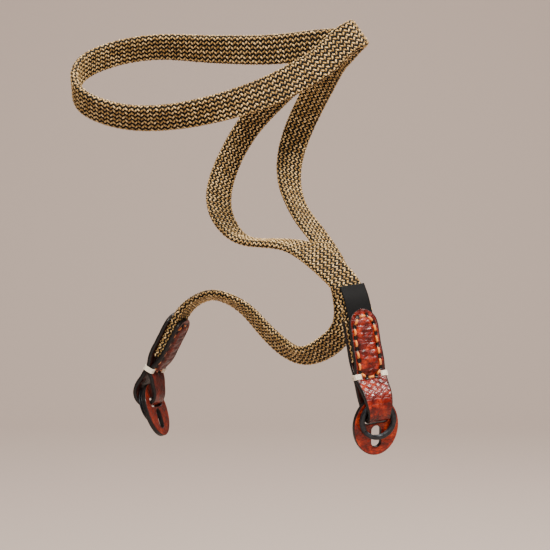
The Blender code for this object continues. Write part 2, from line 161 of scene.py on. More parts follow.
# x, y and z of the middle line in millimetres, then the direction of the strap's width
ROUTE = np.array([
    (9.9, -16.4, -142.9, 0.93, 0.34, 0.145),
    (7.8, -15.4, -131.1, 0.93, 0.34, 0.145),
    (6.7, -14.9, -125.2, 0.93, 0.34, 0.145),
    (5.6, -14.5, -119.3, 0.92, 0.34, 0.16),
    (3.3, -13.3, -113.5, 0.90, 0.35, 0.24),
    (-0.5, -10.2, -107.5, 0.85, 0.35, 0.39),
    (-5.0, -5.5, -102.5, 0.75, 0.38, 0.54),
    (-10.5, 0.0, -97.5, 0.58, 0.54, 0.60),
    (-16.5, 7.0, -93.5, 0.36, 0.80, 0.48),
    (-25.5, 15.0, -90.5, 0.10, 0.97, 0.22),
    (-37.0, 25.0, -89.5, 0.02, 0.99, 0.10),
    (-46.5, 34.0, -87.5, 0.30, 0.95, 0.10),
    (-53.5, 43.0, -81.0, 0.62, 0.78, 0.06),
    (-57.5, 52.0, -71.0, 0.78, 0.62, 0.00),
    (-57.0, 59.0, -60.5, 0.81, 0.58, -0.10),
    (-52.0, 63.0, -46.5, 0.76, 0.60, -0.25),
    (-44.0, 61.0, -33.0, 0.72, 0.56, -0.41),
    (-34.0, 52.0, -22.0, 0.68, 0.50, -0.54),
    (-23.0, 36.0, -12.5, 0.64, 0.38, -0.66),
    (-13.0, 18.5, -6.0, 0.62, 0.18, -0.76),
    (-6.0, 8.0, -2.5, 0.58, 0.05, -0.82),
    (0.0, 3.7, 0.0, 0.56, 0.00, -0.83),
    (2.2, 2.6, 1.4, 0.54, 0.00, -0.84),
    (3.1, 0.0, 2.0, 0.50, 0.00, -0.87),
    (2.1, -2.6, 1.2, 0.46, 0.00, -0.89),
    (-0.5, -3.7, 0.2, 0.38, 0.00, -0.92),
    (-8.5, -2.5, -0.5, 0.25, 0.05, -0.97),
    (-19.5, 3.0, -1.0, 0.12, 0.15, -0.98),
    (-33.0, 9.0, -1.5, 0.04, 0.28, -0.96),
    (-49.0, 14.0, -1.0, 0.00, 0.42, -0.91),
    (-65.5, 18.0, 0.0, 0.00, 0.55, -0.84),
    (-81.5, 20.0, 1.0, 0.00, 0.65, -0.76),
    (-97.0, 19.0, -0.5, 0.00, 0.68, -0.73),
    (-109.5, 14.0, -4.5, 0.00, 0.68, -0.73),
    (-118.0, 7.0, -10.0, 0.00, 0.68, -0.73),
    (-121.0, -3.0, -18.0, 0.00, 0.68, -0.73),
    (-118.0, -12.0, -26.0, 0.00, 0.68, -0.73),
    (-109.5, -18.0, -31.5, 0.00, 0.68, -0.73),
    (-97.0, -21.0, -35.0, 0.00, 0.68, -0.73),
    (-81.5, -22.0, -35.5, 0.02, 0.66, -0.75),
    (-64.0, -22.0, -33.0, 0.10, 0.58, -0.81),
    (-47.5, -20.0, -28.5, 0.25, 0.45, -0.86),
    (-33.0, -17.0, -23.0, 0.40, 0.28, -0.87),
    (-19.0, -13.0, -15.5, 0.50, 0.12, -0.86),
    (-8.0, -10.5, -8.0, 0.55, 0.03, -0.83),
    (0.0, -8.3, 0.1, 0.56, 0.00, -0.83),
    (5.0, -5.9, 3.4, 0.56, 0.00, -0.83),
    (7.0, 0.0, 4.7, 0.57, 0.00, -0.82),
    (4.9, 5.9, 3.2, 0.60, 0.00, -0.80),
    (0.8, 10.8, -0.9, 0.64, 0.00, -0.76),
    (-2.5, 22.0, -3.5, 0.71, 0.00, -0.71),
    (-7.0, 38.0, -10.0, 0.79, 0.00, -0.61),
    (-12.5, 54.0, -19.5, 0.90, 0.05, -0.43),
    (-18.5, 65.0, -31.5, 0.93, 0.15, -0.33),
    (-23.0, 67.0, -45.0, 0.90, 0.38, -0.22),
    (-24.0, 62.0, -57.0, 0.74, 0.66, 0.08),
    (-21.5, 53.0, -68.5, 0.50, 0.85, 0.18),
    (-16.5, 43.0, -78.0, 0.36, 0.89, 0.28),
    (-10.5, 33.0, -86.5, 0.34, 0.88, 0.32),
    (-5.0, 25.5, -95.5, 0.50, 0.81, 0.30),
    (-1.0, 19.0, -105.5, 0.72, 0.68, 0.12),
    (1.5, 15.0, -116.5, 0.81, 0.59, -0.08),
    (1.0, 15.5, -128.0, 0.70, 0.62, -0.34),
    (-6.0, 21.0, -137.0, 0.41, 0.69, -0.59),
    (-16.5, 31.0, -142.0, 0.05, 0.90, -0.44),
    (-26.5, 42.0, -138.5, -0.20, 0.92, -0.35),
    (-36.5, 52.0, -129.5, -0.24, 0.94, -0.25),
    (-45.5, 60.0, -120.5, -0.20, 0.96, -0.20),
    (-54.0, 64.0, -115.5, -0.10, 0.98, -0.18),
    (-62.5, 67.0, -114.0, 0.05, 0.98, -0.18),
    (-70.0, 68.5, -117.0, 0.22, 0.97, -0.12),
    (-75.8, 69.0, -122.9, 0.37, 0.93, -0.03),
    (-78.5, 70.2, -128.2, 0.383, 0.924, 0.00),
    (-81.1, 71.3, -133.4, 0.383, 0.924, 0.00),
    (-86.5, 73.5, -143.9, 0.383, 0.924, 0.00),
])
ROUTE[:, :3] *= MM

CORE_RADIUS = 1.28 * MM
CORE_FLAT = 5.25 * MM
YARN_RADIUS = 1.6 * MM
END_PRESS = 0.72
END_TAPER = 4.0 * MM
STRAP_STEP = 0.4 * MM
CORE_STEP = 1.6 * MM
CORE_SIDES = 28
YARN_ROWS = 14
BRAID_PERIOD = 2.75 * MM
TAN_HALF_WIDTH = 0.42 * MM
TAN_HEIGHT = 0.53 * MM
BLACK_HALF_WIDTH = 0.40 * MM
BLACK_HEIGHT = 0.32 * MM
YARN_ROOT = -0.10 * MM
FLOAT_SPAN = np.array([0.96, 1.38])
SEED = 11


def natural_spline(knots, values, at):
    """Natural cubic spline: second slopes m solve the tridiagonal system, each span is a cubic in m."""
    n = len(knots)
    h = np.diff(knots)
    slope = np.diff(values, axis=0) / h[:, None]
    system = np.zeros((n, n))
    system[0, 0] = system[-1, -1] = 1.0
    i = np.arange(1, n - 1)
    system[i, i - 1] = h[i - 1]
    system[i, i] = 2.0 * (h[i - 1] + h[i])
    system[i, i + 1] = h[i]
    right = np.zeros_like(values)
    right[i] = 6.0 * (slope[i] - slope[i - 1])
    m = np.linalg.solve(system, right)
    k = np.clip(np.searchsorted(knots, at, side="right") - 1, 0, n - 2)
    after = (at - knots[k])[:, None]
    before = (knots[k + 1] - at)[:, None]
    step = h[k][:, None]
    cubic = (m[k] * before**3 + m[k + 1] * after**3) / (6.0 * step)
    low = (values[k] / step - m[k] * step / 6.0) * before
    high = (values[k + 1] / step - m[k + 1] * step / 6.0) * after
    return cubic + low + high


def running_length(points):
    """Straight-line length from the first point to each point."""
    return np.concatenate([[0.0], np.cumsum(np.linalg.norm(np.diff(points, axis=0), axis=1))])


def unit(rows):
    """Rows scaled to length one."""
    return rows / np.linalg.norm(rows, axis=-1, keepdims=True)


def read_columns(table, position, at):
    """Each column of a table read at positions by straight interpolation."""
    columns = [np.interp(at, position, table[:, c]) for c in range(table.shape[1])]
    return np.stack(columns, -1)


knots = running_length(ROUTE[:, :3])
fine = np.linspace(0.0, knots[-1], int(knots[-1] / STRAP_STEP))
strap_line = natural_spline(knots, ROUTE[:, :3], fine)
strap_along = unit(np.gradient(strap_line, axis=0))
strap_across = natural_spline(knots, ROUTE[:, 3:], fine)
strap_across = unit(strap_across - (strap_across * strap_along).sum(1)[:, None] * strap_along)
strap_out = np.cross(strap_along, strap_across)
strap_arc = running_length(strap_line)
STRAP_LENGTH = strap_arc[-1]
PERIMETER = 4.0 * CORE_FLAT + 2.0 * math.pi * YARN_RADIUS
strap_frames = np.concatenate([strap_line, strap_across, strap_out], 1)


def strap_surface(along, around, lift):
    """Point over the flat tube: along its length, around its stadium outline and lifted off its core.

    The outline runs along the front face, round one edge, along the back and round the other edge."""
    a = np.mod(around, PERIMETER)
    arc = math.pi * YARN_RADIUS
    flat = 2.0 * CORE_FLAT
    turn_right = np.clip((a - flat) / YARN_RADIUS, 0.0, math.pi)
    turn_left = np.clip((a - 2.0 * flat - arc) / YARN_RADIUS, 0.0, math.pi)
    turn = turn_right + turn_left
    middle = np.clip(a, 0.0, flat) - np.clip(a - flat - arc, 0.0, flat) - CORE_FLAT
    reach = CORE_RADIUS + lift
    press = np.interp(np.minimum(along, STRAP_LENGTH - along), [0.0, END_TAPER], [END_PRESS, 1.0])
    sideways = middle + reach * np.sin(turn)
    outward = reach * np.cos(turn) * press
    here = read_columns(strap_frames, strap_arc, along)
    return here[..., 0:3] + here[..., 3:6] * sideways[..., None] + here[..., 6:9] * outward[..., None]


def set_values(mesh, values):
    """Point values of a mesh by name: one number or three for each point."""
    for name, rows in values.items():
        kind, field = ("FLOAT", "value") if rows.ndim == 1 else ("FLOAT_VECTOR", "vector")
        layer = mesh.attributes.new(name, kind, "POINT")
        layer.data.foreach_set(field, rows.astype(np.float32).ravel())


def place_piece(name, mesh, material):
    """Object of a finished mesh, which rides on the strap's one body."""
    mesh.materials.append(material)
    item = bpy.data.objects.new(name, mesh)
    bpy.context.scene.collection.objects.link(item)
    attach(item, "root")
    return item


def make_piece(name, points, polygons, material, values=None):
    """Smooth piece from arrays: points, polygons as arrays of equal-sided index rows, and point values."""
    mesh = bpy.data.meshes.new(name)
    mesh.vertices.add(len(points))
    mesh.vertices.foreach_set("co", np.ascontiguousarray(points, dtype=np.float32).ravel())
    loops = np.concatenate([rows.ravel() for rows in polygons])
    sides = np.concatenate([np.full(len(rows), rows.shape[1]) for rows in polygons])
    starts = np.concatenate([[0], np.cumsum(sides)[:-1]])
    mesh.loops.add(len(loops))
    mesh.loops.foreach_set("vertex_index", loops.astype(np.int32))
    mesh.polygons.add(len(sides))
    mesh.polygons.foreach_set("loop_start", starts.astype(np.int32))
    mesh.polygons.foreach_set("loop_total", sides.astype(np.int32))
    set_values(mesh, values or {})
    mesh.update(calc_edges=True)
    mesh.validate()
    mesh.shade_smooth()
    return place_piece(name, mesh, material)


def tube_quads(rows, sides):
    """Index rows of the quads of a grid that is closed round its sides."""
    i = np.arange(rows - 1)[:, None]
    j = np.arange(sides)[None, :]
    k = (j + 1) % sides
    quads = np.stack([i * sides + j, i * sides + k, (i + 1) * sides + k, (i + 1) * sides + j], -1)
    return quads.reshape(-1, 4)


def closed_tubes(count, rows, sides):
    """Quads and end triangles of equal tubes. A tube's points are its grid and then its two end points."""
    here = np.arange(sides)
    after = (here + 1) % sides
    last = (rows - 1) * sides
    first_end = np.stack([np.full(sides, rows * sides), after, here], 1)
    last_end = np.stack([np.full(sides, rows * sides + 1), last + here, last + after], 1)
    base = (np.arange(count) * (rows * sides + 2))[:, None, None]
    quads = (tube_quads(rows, sides)[None] + base).reshape(-1, 4)
    triangles = (np.concatenate([first_end, last_end])[None] + base).reshape(-1, 3)
    return [quads, triangles]


# Core: the inner side of the braid's own yarn, which lies in shade and gives the eye only dark gaps.
shaded_yarn = new_material("shaded_polyester_braid_core", "#0d0a06", 0.95)[0]
core_along = np.linspace(0.0, STRAP_LENGTH, int(STRAP_LENGTH / CORE_STEP))
core_around = np.arange(CORE_SIDES) / CORE_SIDES * PERIMETER
grid_along, grid_around = np.meshgrid(core_along, core_around, indexing="ij")
core_skin = strap_surface(grid_along, grid_around, np.zeros_like(grid_along)).reshape(-1, 3)
core_ends = read_columns(strap_frames, strap_arc, np.array([0.0, STRAP_LENGTH]))[:, :3]
strap_core = make_piece("strap_core", np.concatenate([core_skin, core_ends]),
                        closed_tubes(1, len(core_along), CORE_SIDES), shaded_yarn)
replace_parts(strap_core, "braided_strap")

# Yarn floats: a 2-over-2 twill braid in which both lays have tan and black strands by turns, so that
# columns of short slanting floats lean one way and the other by turns. Each float is a small pillow.
FLOAT_STATIONS = np.array([-0.74, -0.3, 0.3, 0.74])
FLOAT_WIDTHS = np.array([0.84, 1.0, 1.0, 0.84])
FLOAT_HEIGHTS = np.array([0.56, 1.0, 1.0, 0.56])
# share of half the width, share of the height
FLOAT_OUTLINE = np.array([(-0.62, 0.0), (-0.94, 0.48), (0.0, 1.0), (0.94, 0.48), (0.62, 0.0)])
DRIFT_ALONG = 0.03 * MM
DRIFT_AROUND = 0.025 * MM
WIDTH_SPREAD = 0.05
HEIGHT_SPREAD = 0.07
# sockets of a mix of two colours
MIX_SHARE = 0
MIX_FIRST = 6
MIX_SECOND = 7
MIX_RESULT = 2


def yarn_floats(lay, tan, rng):
    """Points, faces and values of all floats of one lay and colour.

    Crossings are counted in quarter periods along and half yarn pitches around. One lay's floats sit at
    4k + 0.5 along and 2i - 4k - 0.5 around, the other's at 4k + 2.5 and 4k + 2.5 - 2i; even i is tan."""
    periods = int(round(STRAP_LENGTH / BRAID_PERIOD))
    quarter = STRAP_LENGTH / periods / 4.0
    half_pitch = PERIMETER / (4.0 * YARN_ROWS)
    k = np.arange(periods)[:, None]
    i = np.arange(0 if tan else 1, 2 * YARN_ROWS, 2)[None, :]
    if lay == "left":
        x, y = np.broadcast_arrays(4.0 * k + 0.5, 2.0 * i - 4.0 * k - 0.5)
        heading = np.array([quarter, -half_pitch])
    else:
        x, y = np.broadcast_arrays(4.0 * k + 2.5, 4.0 * k + 2.5 - 2.0 * i)
        heading = np.array([quarter, half_pitch])
    n = x.size
    x = x.ravel() * quarter + rng.normal(0.0, DRIFT_ALONG, n)
    y = y.ravel() * half_pitch + rng.normal(0.0, DRIFT_AROUND, n)
    heading = heading * FLOAT_SPAN
    half_length = np.linalg.norm(heading)
    ahead = heading / half_length
    half_width = TAN_HALF_WIDTH if tan else BLACK_HALF_WIDTH
    height = TAN_HEIGHT if tan else BLACK_HEIGHT
    width_share = rng.normal(1.0, WIDTH_SPREAD, n)[:, None, None]
    height_share = rng.normal(1.0, HEIGHT_SPREAD, n)[:, None, None]
    across = FLOAT_OUTLINE[:, 0] * FLOAT_WIDTHS[:, None] * half_width * width_share
    lift = FLOAT_OUTLINE[:, 1] * FLOAT_HEIGHTS[:, None] * height * height_share
    lift = np.where(FLOAT_OUTLINE[:, 1] > 0.0, lift, YARN_ROOT)
    run = np.broadcast_to(FLOAT_STATIONS[:, None] * half_length, across.shape)
    run = np.concatenate([run.reshape(n, -1), np.tile([[-half_length, half_length]], (n, 1))], 1)
    across = np.concatenate([across.reshape(n, -1), np.zeros((n, 2))], 1)
    lift = np.concatenate([lift.reshape(n, -1), np.full((n, 2), YARN_ROOT)], 1)
    along = np.clip(x[:, None] + run * ahead[0] - across * ahead[1], 0.0, STRAP_LENGTH)
    around = y[:, None] + run * ahead[1] + across * ahead[0]
    tone = np.repeat(rng.random(n), run.shape[1])
    yarn = np.stack([run / half_length, across / half_width, lift / height], -1).reshape(-1, 3)
    faces = closed_tubes(n, len(FLOAT_STATIONS), len(FLOAT_OUTLINE))
    return strap_surface(along, around, lift).reshape(-1, 3), faces, {"tone": tone, "yarn": yarn}


def yarn_material(name, dark, middle, light, roughness, sheen):
    """Twisted filament yarn: its tone differs a little from float to float, and filaments run along it.

    The yarn values go from -1 to 1 along and across a float, and from 0 at its root to 1 at its top. The
    filaments are drawn 0.04 mm wide, twice the real size, so that they show."""
    material, tree, shader = new_material(name, middle, roughness, {
        "Sheen Weight": sheen, "Sheen Roughness": 0.4, "Specular IOR Level": 0.25})
    tone = add_node(tree, "ShaderNodeAttribute", {"attribute_name": "tone"})
    yarn = add_node(tree, "ShaderNodeAttribute", {"attribute_name": "yarn"})
    spread = add_node(tree, "ShaderNodeMapping", {"Scale": (0.9, 5.0, 1.0)},
                      {"Vector": yarn.outputs["Vector"]})
    filaments = add_node(tree, "ShaderNodeTexNoise", {"Scale": 2.2, "Detail": 2.0},
                         {"Vector": spread.outputs["Vector"]})
    blend = add_node(tree, "ShaderNodeMath", {"operation": "MULTIPLY_ADD", 1: 0.45},
                     {0: tone.outputs["Fac"], 2: filaments.outputs["Fac"]})
    ramp = add_node(tree, "ShaderNodeValToRGB", None, {"Fac": blend.outputs["Value"]})
    ramp.color_ramp.elements.new(0.68)
    for stop, place, colour in zip(ramp.color_ramp.elements, (0.40, 0.68, 0.98), (dark, middle, light)):
        stop.position = place
        stop.color = linear(colour)
    # Painted shade: each float's colour is darkened towards its root, where it dives under its neighbours.
    split = add_node(tree, "ShaderNodeSeparateXYZ", None, {"Vector": yarn.outputs["Vector"]})
    root = add_node(tree, "ShaderNodeMapRange",
                    {"From Min": -0.2, "From Max": 0.85, "To Min": 0.12, "To Max": 1.0},
                    {"Value": split.outputs["Z"]})
    shade = add_node(tree, "ShaderNodeMix", {"data_type": "RGBA", "blend_type": "MULTIPLY", MIX_SHARE: 1.0},
                     {MIX_FIRST: ramp.outputs["Color"], MIX_SECOND: root.outputs["Result"]})
    tree.links.new(shade.outputs[MIX_RESULT], shader.inputs["Base Color"])
    bump = add_node(tree, "ShaderNodeBump", {"Strength": 0.35, "Distance": 0.0001},
                    {"Height": filaments.outputs["Fac"]})
    tree.links.new(bump.outputs["Normal"], shader.inputs["Normal"])
    return material


# Both yarns are dyed polyester filament. The tan one has a soft sheen, and the black one is too dark for it.
tan_yarn = yarn_material("tan_polyester_yarn", "#7a5a2e", "#ba9452", "#f0cd90", 0.40, 0.2)
black_yarn = yarn_material("black_polyester_yarn", "#040302", "#090705", "#15110b", 0.7, 0.0)
rng = np.random.default_rng(SEED)
for lay in ("left", "right"):
    for dye, material in (("tan", tan_yarn), ("black", black_yarn)):
        points, faces, values = yarn_floats(lay, dye == "tan", rng)
        make_piece(f"{dye}_yarn_{lay}_lay", points, faces, material, values)


# Leather ends: one strip of waxed, red-brown cowhide each. It is folded through the split ring, its two
# leaves close over the braid's end and are sewn together round it, and its cut edges are painted dark.

# name, waist x, y and z, heading, pad's tilt, roll, lean of the leaves, room above the ring, loop's bulge,
# swing of ring and pad; the angles are in degrees
# swing of ring and pad
ENDS = [
    ("right", 11.4, -17.0, -150.7, -68.0, 12.0, 8.5, 20.0, 9.95, 9.2, 4.0),
    ("left", -90.1, 75.0, -150.9, 157.5, 18.0, 0.0, 47.0, 7.35, 10.8, 0.0),
]
RING_RADIUS = 7.65
RING_DROP = 0.4
RING_BULGE = 0.70
LEATHER_THICKNESS = 1.9
STRAP_THICKNESS = 3.5
CLEARANCE = 0.3
LEAF_LENGTH = 30.7
LEAF_WIDTH = 14.0
WAIST_WIDTH = 15.0
FOLD_WIDTH = 11.0
TIP_RADIUS = 6.9
TIP_FLAT = 0.8
WAIST_OFFSET = (LEATHER_THICKNESS + CLEARANCE) / 2.0
LEAF_OFFSET = STRAP_THICKNESS / 2.0 + CLEARANCE + LEATHER_THICKNESS / 2.0
# lift of the front leaf over the label, and the shares of its length between which it rises
LABEL_ROOM = 0.9
LABEL_ROOM_START = 0.45
LABEL_ROOM_RUN = 0.25
# share of the leaf's length, share of the way from the waist's offset to the leaf's
LEAF_OPENING = [(0.0, 0.0), (0.08, 0.03), (0.16, 0.42), (0.26, 0.87), (0.36, 1.0), (0.49, 1.0), (0.72, 1.0),
                (0.85, 1.0), (1.0, 1.0)]
# share of drop, share of bulge
LOOP = [(0.12, 0.36), (0.27, 0.68), (0.47, 0.93), (0.68, 1.00), (0.88, 0.90), (0.985, 0.72), (1.0, 0.48),
        (0.93, 0.22), (0.78, 0.08), (0.5, 0.0), (0.2, -0.06)]
# share of drop, share of the way from the waist's width to the fold's
LOOP_NARROWING = np.array([(0.0, 0.0), (0.42, 0.4), (0.8, 0.95), (1.0, 1.0)])
# across and up from the waist, in millimetres: the awl holes of one leaf, in sewing order
AWL_HOLES = np.array([
    (-5.0, 3.2), (-5.0, 8.3), (-5.0, 13.4), (-4.95, 18.5), (-4.6, 23.3), (-2.4, 27.3), (2.2, 27.5),
    (4.6, 23.9), (4.95, 19.1), (5.0, 14.0), (5.0, 8.9), (5.0, 4.0), (2.4, 0.4), (-2.2, 0.2)])
AWL_WIDTH = 1.02
AWL_LENGTH = 1.25
AWL_DEPTH = 0.7
STITCH_INSET = 2.0
SEAM_SINK = 0.14
SEAM_HALF_WIDTH = 0.5
LEAF_PUFF = 0.85
PUFF_START = 0.2
PUFF_RUN = 3.5
PUFF_EDGE = 2.6
CREASE_RISE = 0.21
FINE_CREASE_RISE = 0.08
CRACK_RISE = 0.34
CRACKED_LENGTH = 7.0
CRACK_FADE = 4.0
EDGE_ROUNDING = 0.55
EDGE_SHARE = 0.6
PATH_STEPS = 1200
STRIP_STEP = 0.36
TIP_STEPS = 18
FACE_POINTS = 33
EDGE_POINTS = 4
PAINTED_BACK_SHADE = 0.55
BACK_FADE = 0.12
HOLE_RIM = 0.24
HOLE_RIM_RUN = 0.30
# colours of the painted edge, of the inner face as flesh side in painted shade, which also darkens the back
# leaf and the pads' backs as painted shade, and of the painted shade inside a hole
EDGE_PAINT = "#0e0b0b"
FLESH_SIDE_AND_SHADE = "#38120a"
HOLE_SHADE = "#050403"
# patterns to a millimetre: wax mottles of about 3.6 mm, creases 2.4 mm apart and grain pebbles of 0.7 mm
MOTTLES = 0.28
CREASES = 0.42
PEBBLES = 1.5


def end_frame(heading, tilt, roll):
    """Down, outward and across vectors of one leather end.

    Outward is the heading tipped down by the tilt, and the other two are turned about it by the roll."""
    out = np.array([math.cos(math.radians(heading)), math.sin(math.radians(heading)), 0.0])
    up = np.array([0.0, 0.0, 1.0])
    t = math.radians(tilt)
    outward = out * math.cos(t) - up * math.sin(t)
    down = -(up * math.cos(t) + out * math.sin(t))
    side = np.cross(outward, down)
    r = math.radians(roll)
    return down * math.cos(r) + side * math.sin(r), outward, side * math.cos(r) - down * math.sin(r)


def strip_path(drop, bulge, c, s, lift):
    """Middle line of the folded strip as down and outward offsets from the waist.

    Each leaf goes up its lean, whose cosine and sine are c and s, at its own offset, and the loop between
    the leaves is LOOP scaled by drop and bulge."""
    front, back = [], []
    for share, opened in LEAF_OPENING:
        height = share * LEAF_LENGTH
        far = WAIST_OFFSET + (LEAF_OFFSET - WAIST_OFFSET) * opened
        raised = min(max((share - LABEL_ROOM_START) / LABEL_ROOM_RUN, 0.0), 1.0)
        near = far + lift * raised
        front.append((-height * c - near * s, -height * s + near * c))
        back.append((-height * c + far * s, -height * s - far * c))
    loop = [(down_share * drop, out_share * bulge) for down_share, out_share in LOOP]
    return np.array(front[::-1] + loop + back)


def smooth_step(x):
    """Zero below 0, one above 1, and 3x^2 - 2x^3 between."""
    x = np.clip(x, 0.0, 1.0)
    return x * x * (3.0 - 2.0 * x)


class LeatherEnd:
    """One leather end: its frame and the middle line of its strip, all in millimetres."""

    def __init__(self, name, x, y, z, heading, tilt, roll, lean, room, bulge, swing):
        self.name = name
        self.swing = swing
        self.down, self.outward, self.side = end_frame(heading, tilt, roll)
        self.waist = np.array([x, y, z])
        c, s = math.cos(math.radians(lean)), math.sin(math.radians(lean))
        self.leaf_up = -self.down * c - self.outward * s
        self.leaf_out = self.outward * c - self.down * s
        self.drop = room + RING_RADIUS
        self.bulge = bulge
        path = strip_path(self.drop, bulge, c, s, LABEL_ROOM if name == "right" else 0.0)
        knots = running_length(path)
        self.length = knots[-1]
        self.at = np.linspace(0.0, self.length, PATH_STEPS)
        middle = natural_spline(knots, path, self.at)
        step = unit(np.gradient(middle, axis=0))
        along = step[:, :1] * self.down + step[:, 1:] * self.outward
        face = np.cross(along, self.side)
        place = self.waist + middle[:, :1] * self.down + middle[:, 1:] * self.outward
        height = -(middle @ np.array([c, s]))
        leaf = np.interp(height, [0.0, LEAF_LENGTH / 2.0], [WAIST_WIDTH, LEAF_WIDTH])
        narrow = np.interp(middle[:, 0] / self.drop, LOOP_NARROWING[:, 0], LOOP_NARROWING[:, 1])
        width = np.where(height > 0.0, leaf, WAIST_WIDTH + (FOLD_WIDTH - WAIST_WIDTH) * narrow)
        self.table = np.concatenate([place, face, height[:, None], width[:, None]], 1)
        self.front = self.at < self.length / 2.0
        self.height = height

    def on_leaf(self, back, height):
        """Position along the strip of a height on the front or back leaf."""
        if back:
            return np.interp(height, self.height[~self.front], self.at[~self.front])
        return np.interp(height, self.height[self.front][::-1], self.at[self.front][::-1])

    def relief(self, at, across):
        """Rise of the outer face in millimetres, and how deep each place lies in an awl hole, from 0 to 1.

        The leaf swells inside its seam and is pulled in along it by a bell curve. Bent sine waves crease
        the leaf, crossed ones crack the neck below the waist, and each awl hole is a round bell."""
        here = read_columns(self.table[:, 6:8], self.at, at)
        height, width = here[..., 0], here[..., 1]
        above = height - (LEAF_LENGTH - TIP_RADIUS)
        from_edge = np.where(above > 0.0, TIP_RADIUS - np.hypot(across, above), width / 2.0 - np.abs(across))
        inside = from_edge - STITCH_INSET
        leaf = smooth_step((height - PUFF_START) / PUFF_RUN)
        swell = LEAF_PUFF * smooth_step(inside / PUFF_EDGE) * leaf
        seam = -SEAM_SINK * np.exp(-(inside / SEAM_HALF_WIDTH) ** 2) * smooth_step((height + 0.5) / 1.5)
        wave = np.sin(height * 1.8 + 1.1 * np.sin(across * 0.75 + 0.6) + 0.8 * np.sin(height * 0.6))
        fine = np.sin(height * 3.9 - 1.3 * np.sin(across * 0.5 - 0.4 + height * 0.2))
        creases = (CREASE_RISE * wave + FINE_CREASE_RISE * fine) * smooth_step(inside / 2.0) * leaf
        neck = smooth_step(-height / 1.2) * (1.0 - smooth_step((-height - CRACKED_LENGTH) / CRACK_FADE))
        rising = np.abs(np.sin(0.80 * (across + 1.3 * height) + 0.5))
        falling = np.abs(np.sin(0.72 * (across - 1.5 * height)))
        cracks = CRACK_RISE * (rising * falling) ** 0.35 * neck * (at < self.length / 2.0)
        hole = np.zeros_like(height)
        for hole_across, hole_up in AWL_HOLES:
            far = ((across - hole_across) / AWL_WIDTH) ** 2 + ((height - hole_up) / AWL_LENGTH) ** 2
            hole = np.maximum(hole, np.exp(-far))
        return swell + seam + creases + cracks - AWL_DEPTH * hole, hole

    def surface(self, at, across, lift):
        """Point at a place along and across the strip, lifted outwards from its middle layer."""
        here = read_columns(self.table[:, :6], self.at, at)
        return here[..., 0:3] + across[..., None] * self.side + lift[..., None] * here[..., 3:6]

    def outer(self, at, across, lift):
        """Point at a height over the outer face."""
        return self.surface(at, across, LEATHER_THICKNESS / 2.0 + self.relief(at, across)[0] + lift)


